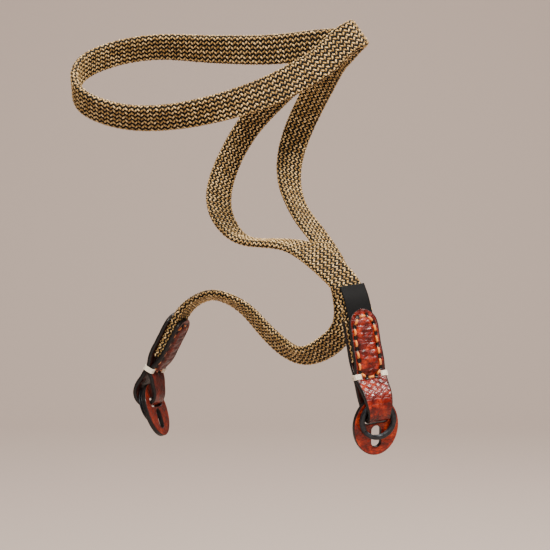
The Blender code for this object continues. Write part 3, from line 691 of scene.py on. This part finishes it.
def leather_material(name, dark, middle, light):
    """Pull-up cowhide: mottled wax finish over pebbled, creased grain, with painted edges and awl holes.

    The hide values are millimetres across, along and up. The zones are the edge, the inner face with the
    painted shade on back leaves and pad backs, and the holes' painted shade, each from 0 to 1. The grain's
    grooves are darkened as painted shade."""
    material, tree, shader = new_material(name, middle, 0.34, {
        "Specular IOR Level": 0.22, "Coat Weight": 0.26, "Coat Roughness": 0.20})
    hide = add_node(tree, "ShaderNodeAttribute", {"attribute_name": "hide"})
    zones = add_node(tree, "ShaderNodeAttribute", {"attribute_name": "zones"})
    zone = add_node(tree, "ShaderNodeSeparateXYZ", None, {"Vector": zones.outputs["Vector"]})
    mottle = add_node(tree, "ShaderNodeTexNoise", {"Scale": MOTTLES, "Detail": 5.0, "Roughness": 0.62},
                      {"Vector": hide.outputs["Vector"]})
    ramp = add_node(tree, "ShaderNodeValToRGB", None, {"Fac": mottle.outputs["Fac"]})
    ramp.color_ramp.elements.new(0.52)
    for stop, place, colour in zip(ramp.color_ramp.elements, (0.33, 0.52, 0.70), (dark, middle, light)):
        stop.position = place
        stop.color = linear(colour)
    stretch = add_node(tree, "ShaderNodeMapping", {"Scale": (0.75, 1.25, 1.0)},
                       {"Vector": hide.outputs["Vector"]})
    bent = add_node(tree, "ShaderNodeTexNoise", {"Scale": 0.45, "Detail": 1.0},
                    {"Vector": stretch.outputs["Vector"]})
    warped = add_node(tree, "ShaderNodeVectorMath", {"operation": "MULTIPLY_ADD", 1: (1.6, 1.6, 1.6)},
                      {0: bent.outputs["Color"], 2: stretch.outputs["Vector"]})
    grooves = []
    for scale, edge in ((CREASES, 0.16), (PEBBLES, 0.22)):
        cells = add_node(tree, "ShaderNodeTexVoronoi", {"feature": "DISTANCE_TO_EDGE", "Scale": scale},
                         {"Vector": warped.outputs["Vector"]})
        grooves.append(add_node(tree, "ShaderNodeMapRange", {"From Min": 0.0, "From Max": edge},
                                {"Value": cells.outputs["Distance"]}))
    grain = add_node(tree, "ShaderNodeMath", {"operation": "MULTIPLY_ADD", 1: 0.2},
                     {0: grooves[1].outputs["Result"], 2: grooves[0].outputs["Result"]})
    # Painted shade: the colour is darkened in the grain's crease and pebble grooves.
    groove_shade = add_node(tree, "ShaderNodeMapRange",
                    {"From Min": 0.0, "From Max": 1.2, "To Min": 0.5, "To Max": 1.0},
                    {"Value": grain.outputs["Value"]})
    face = add_node(tree, "ShaderNodeMix", {"data_type": "RGBA", "blend_type": "MULTIPLY", MIX_SHARE: 1.0},
                    {MIX_FIRST: ramp.outputs["Color"], MIX_SECOND: groove_shade.outputs["Result"]})
    colour = face.outputs[MIX_RESULT]
    for output, paint in (("Y", FLESH_SIDE_AND_SHADE), ("X", EDGE_PAINT), ("Z", HOLE_SHADE)):
        layer = add_node(tree, "ShaderNodeMix", {"data_type": "RGBA", MIX_SECOND: linear(paint)},
                         {MIX_SHARE: zone.outputs[output], MIX_FIRST: colour})
        colour = layer.outputs[MIX_RESULT]
    tree.links.new(colour, shader.inputs["Base Color"])
    rough = add_node(tree, "ShaderNodeMapRange",
                     {"From Min": 0.3, "From Max": 0.7, "To Min": 0.30, "To Max": 0.46},
                     {"Value": mottle.outputs["Fac"]})
    dull = add_node(tree, "ShaderNodeMath", {"operation": "MULTIPLY_ADD", 1: 0.3},
                    {0: zone.outputs["Y"], 2: rough.outputs["Result"]})
    matt = add_node(tree, "ShaderNodeMath", {"operation": "MULTIPLY_ADD", 1: 0.25},
                    {0: zone.outputs["X"], 2: dull.outputs["Value"]})
    tree.links.new(matt.outputs["Value"], shader.inputs["Roughness"])
    bump = add_node(tree, "ShaderNodeBump", {"Strength": 0.5, "Distance": 0.00030},
                    {"Height": grain.outputs["Value"]})
    tree.links.new(bump.outputs["Normal"], shader.inputs["Normal"])
    return material


def flat_ended_tube(rows, sides, turned):
    """Faces of a tube with one flat face over each end. Where turned is true, they all face the other way."""
    side = np.arange(sides)[None, :]
    faces = [tube_quads(rows, sides), side[:, ::-1], (rows - 1) * sides + side]
    return [face[:, ::-1] for face in faces] if turned else faces


def leather_body(end):
    """Closed strip: outer face, rounded edge, inner face and rounded edge at each station along it."""
    inner = np.arange(TIP_RADIUS, end.length - TIP_RADIUS, STRIP_STEP)[1:]
    tip = TIP_RADIUS * (1.0 - np.cos(np.linspace(0.0, math.pi / 2.0, TIP_STEPS)))
    at = np.concatenate([tip, inner, end.length - tip[::-1]])
    width = read_columns(end.table[:, 7:8], end.at, at)[:, 0]
    from_tip = np.minimum(at, end.length - at)
    short = np.clip(TIP_RADIUS - from_tip, 0.0, TIP_RADIUS)
    rounded = 2.0 * np.sqrt(np.maximum(TIP_RADIUS**2 - short**2, TIP_FLAT**2))
    half = np.where(from_tip < TIP_RADIUS, np.minimum(width, rounded), width)[:, None] / 2.0
    at = at[:, None]
    thick = LEATHER_THICKNESS / 2.0
    edge = np.minimum(EDGE_ROUNDING, half * EDGE_SHARE)
    face_across = np.linspace(-1.0, 1.0, FACE_POINTS)[None, :] * (half - edge)
    rise, hole = end.relief(at + 0.0 * face_across, face_across)
    turn = np.linspace(0.0, math.pi, EDGE_POINTS + 2)[1:-1][None, :]
    edge_across = half - edge + edge * np.sin(turn)
    edge_lift = thick * np.cos(turn)
    right_lift = edge_lift + rise[:, -1:] * (1.0 + np.cos(turn)) / 2.0
    left_lift = edge_lift + rise[:, :1] * (1.0 + np.cos(turn)) / 2.0
    across = np.concatenate([face_across, edge_across, -face_across, -edge_across], 1)
    lift = np.concatenate([thick + rise, right_lift, -thick + 0.0 * face_across, left_lift[:, ::-1]], 1)
    points = end.surface(at + 0.0 * across, across, lift)
    zones = np.zeros(points.shape)
    inner_start = FACE_POINTS + EDGE_POINTS
    inner_end = inner_start + FACE_POINTS - 1
    zones[:, FACE_POINTS - 1:inner_start + 1, 0] = 1.0
    zones[:, inner_end:, 0] = 1.0
    zones[:, 0, 0] = 1.0
    # Painted shade: the inner face gets a shaded flesh-side colour, and the back leaf's outer face is darkened
    # towards its end.
    zones[:, inner_start + 1:inner_end, 1] = 1.0
    zones[:, :FACE_POINTS, 1] = PAINTED_BACK_SHADE * smooth_step((at / end.length - 0.5) / BACK_FADE)
    # Painted shade: the awl holes are coloured near black for the shade inside them.
    zones[:, :FACE_POINTS, 2] = smooth_step((hole - HOLE_RIM) / HOLE_RIM_RUN)
    hide = np.stack([across, at + 0.0 * across, lift], -1)
    return make_piece(end.name + "_leather", points.reshape(-1, 3) * MM,
                      flat_ended_tube(len(at), across.shape[1], True), leather,
                      {"zones": zones.reshape(-1, 3), "hide": hide.reshape(-1, 3)})


# Waxed pull-up cowhide: dyed through, tumbled and waxed, so it is a mottled red-brown with a soft shine on
# its high places. Its creases and grain grooves are darkened as painted shade.
leather = leather_material("waxed_pull_up_cowhide", "#360400", "#700f02", "#b03408")
ends = [LeatherEnd(*row) for row in ENDS]
for end in ends:
    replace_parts(leather_body(end), end.name + "_leather_end")


# Seams: waxed orange-tan thread, saddle-stitched through awl holes round each leaf. Every stitch lies in
# the groove from one hole to the next and dives into both.
THREAD_HALF_WIDTH = 0.56
THREAD_HALF_HEIGHT = 0.36
THREAD_SIDES = 8
THREAD_STATIONS = 9
THREAD_START = 0.2
THREAD_LIFT = 0.26
BACK_THREAD_LIFT = -0.30
THREAD_DIVE = 0.8


def thread_material(name, colour, roughness, dark, light, bands, wobble, bump, bump_height):
    """Waxed linen thread: its plies show as slanting bands, and the wax gives it a dull sheen.

    The bands are 0.63 mm divided by their scale apart, because a wave texture's slanting bands are ten to
    every two pi."""
    material, tree, shader = new_material(name, colour, roughness, {"Sheen Weight": 0.15})
    twist = add_node(tree, "ShaderNodeAttribute", {"attribute_name": "twist"})
    plies = add_node(tree, "ShaderNodeTexWave",
                     {"wave_type": "BANDS", "bands_direction": "DIAGONAL", "Scale": bands,
                      "Distortion": wobble, "Detail": 1.0}, {"Vector": twist.outputs["Vector"]})
    # Painted light and shade: the bands mix the light colour on the ply crests with the dark colour between
    # them.
    ply_light_and_shade = add_node(tree, "ShaderNodeMix",
                    {"data_type": "RGBA", MIX_FIRST: linear(dark), MIX_SECOND: linear(light)},
                    {MIX_SHARE: plies.outputs["Fac"]})
    tree.links.new(ply_light_and_shade.outputs[MIX_RESULT], shader.inputs["Base Color"])
    relief = add_node(tree, "ShaderNodeBump", {"Strength": bump, "Distance": bump_height},
                      {"Height": plies.outputs["Fac"]})
    tree.links.new(relief.outputs["Normal"], shader.inputs["Normal"])
    return material


def round_tubes(lines, ups, half_width, half_height, sides):
    """Closed tubes with pole ends round many lines: points, faces and twist values.

    A tube's half-width and half-height shrink towards its ends as the root of 1 - t^8."""
    n, rows = lines.shape[:2]
    along = unit(np.gradient(lines, axis=1))
    across = unit(np.cross(along, ups))
    lift = np.cross(across, along)
    turn = np.arange(sides) / sides * 2.0 * math.pi
    shape = np.sqrt(np.clip(1.0 - np.linspace(-0.97, 0.97, rows) ** 8, 0.02, 1.0))[None, :, None, None]
    ring = lines[:, :, None] + shape * (half_width * np.cos(turn)[:, None] * across[:, :, None]
                                        + half_height * np.sin(turn)[:, None] * lift[:, :, None])
    points = np.concatenate([ring.reshape(n, -1, 3), lines[:, :1], lines[:, -1:]], 1)
    step = np.linalg.norm(np.diff(lines, axis=1), axis=2)
    travel = np.concatenate([np.zeros((n, 1)), np.cumsum(step, 1)], 1)
    twist = np.zeros(points.shape)
    twist[:, :rows * sides, 0] = np.repeat(travel, sides, axis=1)
    twist[:, :rows * sides, 1] = np.tile(turn, rows) * half_width
    return points.reshape(-1, 3), closed_tubes(n, rows, sides), {"twist": twist.reshape(-1, 3)}


# Orange thread: dyed linen in plies 0.7 mm apart, waxed, with painted highlights on its plies and painted
# shade between them.
thread_orange = thread_material("waxed_orange_linen_thread", "#c47a3a", 0.45, "#b8540c", "#f09a35",
                                0.9, 0.6, 0.5, 0.0001)
for end in ends:
    lines, ups = [], []
    for back in (False, True):
        stop = np.roll(AWL_HOLES, -1, axis=0)
        share = np.linspace(THREAD_START, 1.0 - THREAD_START, THREAD_STATIONS)[None, :]
        run = AWL_HOLES[:, None] + (stop - AWL_HOLES)[:, None] * share[..., None]
        at = end.on_leaf(back, run[..., 1])
        dive = THREAD_DIVE * np.abs((2.0 * share - 1.0) / (1.0 - 2.0 * THREAD_START)) ** 6
        arch = (BACK_THREAD_LIFT if back else THREAD_LIFT) - dive
        lines.append(end.outer(at, run[..., 0], 0.0 * at + arch))
        ups.append(read_columns(end.table[:, 3:6], end.at, at))
    points, faces, values = round_tubes(np.concatenate(lines), np.concatenate(ups), THREAD_HALF_WIDTH,
                                        THREAD_HALF_HEIGHT, THREAD_SIDES)
    make_piece(end.name + "_seam_stitches", points * MM, faces, thread_orange, values)


# Edge bindings: five turns of cream waxed thread round each edge of the waist, side by side, with
# their ends sunk into the leather. They hold the two layers shut above the ring.
BINDING_TURNS = 5
BINDING_HEIGHT = 2.4
BINDING_THREAD = 0.27
BINDING_SIDES = 10
BINDING_STATIONS = 44
BINDING_EDGE = 7.8
BINDING_REACH = 3.1
BINDING_SLACK = 0.05
BINDING_FACE = WAIST_OFFSET + LEATHER_THICKNESS / 2.0 + 0.20
# towards the edge, outwards
HALF_TURN = [(0.0, -0.75), (0.12, -0.1), (0.7, 0.16), (BINDING_REACH * 0.5, 0.22),
             (BINDING_REACH - 0.9, 0.18), (BINDING_REACH - 0.25, 0.0), (BINDING_REACH + 0.08, -0.6)]

# Cream thread: undyed linen in plies 0.4 mm apart, waxed, so it stays pale, with thin painted shadows
# between plies.
thread_cream = thread_material("waxed_cream_linen_thread", "#d9cdb4", 0.5, "#cfc0a2", "#faf4e6",
                               1.6, 0.4, 0.4, 0.00008)
half = [(BINDING_EDGE - BINDING_REACH + inward, BINDING_FACE + out) for inward, out in HALF_TURN]
outline = np.array(half + [(across, -out) for across, out in half[::-1]])
knots = running_length(outline)
outline = natural_spline(knots, outline, np.linspace(0.0, knots[-1], BINDING_STATIONS))
heading = unit(np.gradient(outline, axis=0))
outwards = np.stack([-heading[:, 1], heading[:, 0]], 1)
for end in ends:
    for edge, sign in (("a", 1.0), ("b", -1.0)):
        rng = np.random.default_rng(SEED + int(sign) + 5)
        lines, ups = [], []
        for k in range(BINDING_TURNS):
            up = BINDING_THREAD + (BINDING_HEIGHT - 2.0 * BINDING_THREAD) * k / (BINDING_TURNS - 1)
            across = outline[:, 0] + BINDING_SLACK * rng.normal()
            place = end.waist + sign * across[:, None] * end.side + outline[:, 1:] * end.leaf_out
            lines.append(place + end.leaf_up * up)
            ups.append(sign * outwards[:, :1] * end.side + outwards[:, 1:] * end.leaf_out)
        points, faces, values = round_tubes(np.array(lines), np.array(ups), BINDING_THREAD, BINDING_THREAD,
                                            BINDING_SIDES)
        piece = make_piece(f"{end.name}_binding_turns_{edge}", points * MM, faces, thread_cream,
                           values)
        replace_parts(piece, f"{end.name}_edge_binding_{edge}")


# Label tab: bare black satin ribbon, folded double at its free end and caught under the right end's outer
# leaf. It lies on the braid and bends back with it.
LABEL_WIDTH = 12.0
LABEL_THICKNESS = 0.6
LABEL_TURN = 2.2
LABEL_START = 24.0
LABEL_LENGTH = 18.3
LABEL_SINK = 2.0
LABEL_SAG = 0.12
LABEL_ROUNDING = 0.15
LABEL_END = 0.004
LABEL_FRONT = STRAP_THICKNESS / 2.0 + CLEARANCE + LABEL_THICKNESS / 2.0
# share of length, share of sink
LABEL_BEND = np.array([(0.0, 0.0), (0.2, 0.0), (0.4, 0.0), (0.55, 0.04), (0.7, 0.22), (0.85, 0.6),
                       (1.0, 1.0)])
LABEL_ROWS = 60
LABEL_SIDES = 15

# Satin ribbon: black polyester, woven, so it is nearly black and hardly shines. Its threads are drawn 0.35
# and 0.29 mm apart, about twice the real spacing, so that they show.
ribbon, tree, shader = new_material("black_woven_satin_ribbon", "#101012", 0.65, {
    "Specular IOR Level": 0.15, "Sheen Weight": 0.02, "Sheen Roughness": 0.4})
weave_place = add_node(tree, "ShaderNodeAttribute", {"attribute_name": "weave"})
weft, warp = [
    add_node(tree, "ShaderNodeTexWave", {"wave_type": "BANDS", "bands_direction": direction, "Scale": scale,
                                         "Distortion": 0.5, "Detail": 1.0},
             {"Vector": weave_place.outputs["Vector"]})
    for direction, scale in (("Y", 0.9), ("X", 1.1))]
cloth = add_node(tree, "ShaderNodeMath", {"operation": "MULTIPLY"},
                 {0: weft.outputs["Fac"], 1: warp.outputs["Fac"]})
cloth_tint = add_node(tree, "ShaderNodeMix",
                      {"data_type": "RGBA", MIX_FIRST: linear("#030304"), MIX_SECOND: linear("#0e0e10")},
                      {MIX_SHARE: cloth.outputs["Value"]})
tree.links.new(cloth_tint.outputs[MIX_RESULT], shader.inputs["Base Color"])
cloth_bump = add_node(tree, "ShaderNodeBump", {"Strength": 0.5, "Distance": 0.00008},
                      {"Height": cloth.outputs["Value"]})
tree.links.new(cloth_bump.outputs["Normal"], shader.inputs["Normal"])

# The ribbon's middle line is straight under the leaf and then bends back with the braid. Its outline is a
# flat band that sags a little in a wave and closes in a round at the folded end.
end = ends[0]
share = np.linspace(0.0, 1.0, LABEL_ROWS)
sunk = natural_spline(LABEL_BEND[:, 0], LABEL_BEND[:, 1:], share)[:, 0]
height = LABEL_START + share * LABEL_LENGTH
aside = math.tan(math.radians(LABEL_TURN)) * (height - LEAF_LENGTH)
spine = (end.waist + height[:, None] * end.leaf_up + (LABEL_FRONT - sunk * LABEL_SINK)[:, None] * end.leaf_out
         - aside[:, None] * end.side)
along = unit(np.gradient(spine, axis=0))
off = unit(np.cross(end.side, along))
off *= np.sign((off @ end.leaf_out).mean())
across = np.linspace(-1.0, 1.0, LABEL_SIDES)
sag = LABEL_SAG * np.sin(share[:, None] * 5.0 + 1.0) * np.cos(across[None, :] * 2.2)
half = LABEL_WIDTH / 2.0
from_fold = np.clip((1.0 - share) * LABEL_LENGTH + LABEL_END, 0.0, 1.0)
fold = np.minimum(LABEL_THICKNESS / 2.0, np.sqrt(from_fold * LABEL_THICKNESS))
front_across = np.tile(across * (half - LABEL_ROUNDING), (LABEL_ROWS, 1))
top = np.stack([front_across, sag + fold[:, None]], -1)
low = np.stack([front_across[:, ::-1], sag[:, ::-1] - fold[:, None]], -1)
right_edge = np.stack([np.full((LABEL_ROWS, 1), half), sag[:, -1:]], -1)
left_edge = np.stack([np.full((LABEL_ROWS, 1), -half), sag[:, :1]], -1)
outline = np.concatenate([top, right_edge, low, left_edge], 1)
points = (spine[:, None] + outline[..., :1] * end.side + outline[..., 1:] * off[:, None]).reshape(-1, 3)
weave = np.stack([outline[..., 0], height[:, None] + 0.0 * outline[..., 0], 0.0 * outline[..., 0]], -1)
piece = make_piece("woven_label", points * MM, flat_ended_tube(LABEL_ROWS, outline.shape[1], False), ribbon,
                   {"weave": weave.reshape(-1, 3)})
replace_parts(piece, "right_label_tab")


# Split rings: blackened spring steel, two flat turns side by side. The wire climbs from one turn to the
# other just before it passes its own blunt end.
WIRE_RADIAL = 1.05
WIRE_AXIAL = 0.52
WIRE_SQUARENESS = 0.8
TURN_GAP = 0.16
BLUNT_SHARE = 0.72
RING_SWEEP = 4.0 * math.pi - math.radians(44.0)
CLIMB_START = 2.0 * math.pi - math.radians(40.0)
CLIMB_END = 2.0 * math.pi - math.radians(6.0)
RING_START = math.radians(255.0)
RING_ROWS = 240
RING_SIDES = 16

# Blackened spring steel: a thin dark oxide over metal, satin, with paler rubbed places. The rubbed places are
# drawn 1.1 mm across, 900 to the metre.
ring_steel, tree, shader = new_material("blackened_spring_steel", "#26272a", 0.38, {"Metallic": 0.75})
scuff_place = add_node(tree, "ShaderNodeTexCoord")
scuffs = add_node(tree, "ShaderNodeTexNoise", {"Scale": 900.0, "Detail": 4.0},
                  {"Vector": scuff_place.outputs["Object"]})
wear = add_node(tree, "ShaderNodeMapRange",
                {"From Min": 0.3, "From Max": 0.75, "To Min": 0.28, "To Max": 0.5},
                {"Value": scuffs.outputs["Fac"]})
tree.links.new(wear.outputs["Result"], shader.inputs["Roughness"])
worn = add_node(tree, "ShaderNodeMix",
                {"data_type": "RGBA", MIX_FIRST: linear("#101113"), MIX_SECOND: linear("#404348")},
                {MIX_SHARE: scuffs.outputs["Fac"]})
tree.links.new(worn.outputs[MIX_RESULT], shader.inputs["Base Color"])


def local_axes(end):
    """Across, up and outward axes of ring and pad, swung in the pad's plane."""
    swing = math.radians(-end.swing)
    up = -end.down
    across = end.side * math.cos(swing) + up * math.sin(swing)
    return across, up * math.cos(swing) - end.side * math.sin(swing), end.outward


# The wire's middle goes round almost twice and climbs by its own thickness and the gap in a smooth step.
# Its outline is a flat oval with squared sides, and it is cut blunt at both ends.
theta = np.linspace(0.0, RING_SWEEP, RING_ROWS)
climb = smooth_step((theta - CLIMB_START) / (CLIMB_END - CLIMB_START))
level = (climb * 2.0 - 1.0) * (WIRE_AXIAL + TURN_GAP / 2.0)
turn = np.arange(RING_SIDES) / RING_SIDES * 2.0 * math.pi
wide = WIRE_RADIAL * np.sign(np.cos(turn)) * np.abs(np.cos(turn)) ** WIRE_SQUARENESS
high = WIRE_AXIAL * np.sign(np.sin(turn)) * np.abs(np.sin(turn)) ** WIRE_SQUARENESS
blunt = np.ones((RING_ROWS, 1))
blunt[[0, -1]] = BLUNT_SHARE
for end in ends:
    x_axis, y_axis, z_axis = local_axes(end)
    spot = end.waist + end.down * (end.drop + RING_DROP) + end.outward * end.bulge * RING_BULGE
    radial = np.cos(theta + RING_START)[:, None] * x_axis + np.sin(theta + RING_START)[:, None] * y_axis
    points = (spot + radial[:, None] * (RING_RADIUS + wide * blunt)[..., None]
              + z_axis * (level[:, None] + high * blunt)[..., None])
    piece = make_piece(end.name + "_ring_coil", points.reshape(-1, 3) * MM,
                       flat_ended_tube(RING_ROWS, RING_SIDES, True), ring_steel)
    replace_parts(piece, end.name + "_split_ring")


# Pads: ovals of the same cowhide, grain side out, behind the rings. A slit lets the loop through and a slot
# below it clears the lug that the ring goes on. Their cut edges are painted dark like the strips'.
PAD_LENGTH = 26.5
PAD_WIDTH = 21.5
PAD_THICKNESS = 2.4
PAD_TOP = 9.8
RING_WIRE = 1.1
PAD_BEHIND_RING = RING_WIRE + CLEARANCE + PAD_THICKNESS / 2.0
PAD_ROUNDING = 0.45
PAD_POINTS = 96
PAD_EDGE = PAD_THICKNESS / 2.0 - 0.12
PAINTED_PAD_BACK_SHADE = 0.45
SLIT_RISE = 0.35
SLIT_WIDTH = 12.4
SLIT_HEIGHT = 4.7
SLOT_WIDTH = 4.5
SLOT_LENGTH = 9.8
SLOT_BELOW_SLIT = 8.4


def stadium(width, height, count=20):
    """Round-ended outline about the origin: two half circles on the ends of a straight part."""
    r = min(width, height) / 2.0
    turn = np.linspace(0.0, math.pi, count)
    if height > width:
        top = np.stack([r * np.cos(turn), height / 2.0 - r + r * np.sin(turn)], 1)
        return np.concatenate([top, -top])
    right = np.stack([width / 2.0 - r + r * np.sin(turn), r * np.cos(turn)], 1)
    return np.concatenate([right, -right])


def rounded_plate(name, outlines):
    """Mesh of a flat plate with rounded edges: the first outline bounds it, and the others are its holes."""
    curve = bpy.data.curves.new(name, "CURVE")
    curve.dimensions = "2D"
    curve.fill_mode = "BOTH"
    curve.extrude = PAD_THICKNESS / 2.0 - PAD_ROUNDING
    curve.bevel_depth = PAD_ROUNDING
    curve.bevel_resolution = 3
    curve.offset = -PAD_ROUNDING
    for outline in outlines:
        spline = curve.splines.new("POLY")
        spline.points.add(len(outline) - 1)
        places = np.pad(outline, ((0, 0), (0, 2)))
        places[:, 3] = 1.0
        spline.points.foreach_set("co", places.astype(np.float32).ravel())
        spline.use_cyclic_u = True
    holder = bpy.data.objects.new(name, curve)
    bpy.context.scene.collection.objects.link(holder)
    bpy.context.view_layer.update()
    mesh = bpy.data.meshes.new_from_object(holder.evaluated_get(bpy.context.evaluated_depsgraph_get()))
    bpy.data.objects.remove(holder)
    mesh.materials.clear()
    return mesh


# Pad cowhide: the same tumbled, waxed hide, cut from a lighter part, so it is a little redder and brighter.
pad_leather = leather_material("waxed_pad_cowhide", "#460801", "#881b03", "#bf400e")
turn = np.linspace(0.0, 2.0 * math.pi, PAD_POINTS + 1)[:-1]
oval = np.stack([PAD_WIDTH / 2.0 * np.cos(turn), PAD_LENGTH / 2.0 * np.sin(turn)], 1)
oval -= np.array([0.0, PAD_LENGTH / 2.0 - PAD_TOP + SLIT_RISE])
slot = stadium(SLOT_WIDTH, SLOT_LENGTH) - np.array([0.0, SLOT_BELOW_SLIT])
for end in ends:
    x_axis, y_axis, z_axis = local_axes(end)
    behind = end.bulge * RING_BULGE - PAD_BEHIND_RING
    hinge = end.waist + end.down * (end.drop - SLIT_RISE) + end.outward * behind
    swing = math.radians(end.swing)
    straight = np.array([[math.cos(swing), math.sin(swing)], [-math.sin(swing), math.cos(swing)]])
    slit = stadium(SLIT_WIDTH, SLIT_HEIGHT) @ straight
    plate = rounded_plate(end.name + "_pad_plate", (oval, slit, slot))
    local = np.empty(len(plate.vertices) * 3, dtype=np.float32)
    plate.vertices.foreach_get("co", local)
    local = local.reshape(-1, 3).astype(float)
    points = (hinge + local[:, :1] * x_axis + local[:, 1:2] * y_axis + local[:, 2:] * z_axis) * MM
    plate.vertices.foreach_set("co", points.astype(np.float32).ravel())
    zones = np.zeros(local.shape)
    zones[:, 0] = np.abs(local[:, 2]) < PAD_EDGE
    # Painted shade: the pad's back face is darkened towards the shaded flesh-side colour.
    zones[:, 1] = PAINTED_PAD_BACK_SHADE * (local[:, 2] < -PAD_EDGE)
    set_values(plate, {"zones": zones, "hide": local})
    plate.name = end.name + "_pad_plate"
    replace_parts(place_piece(end.name + "_pad_plate", plate, pad_leather), end.name + "_pad")
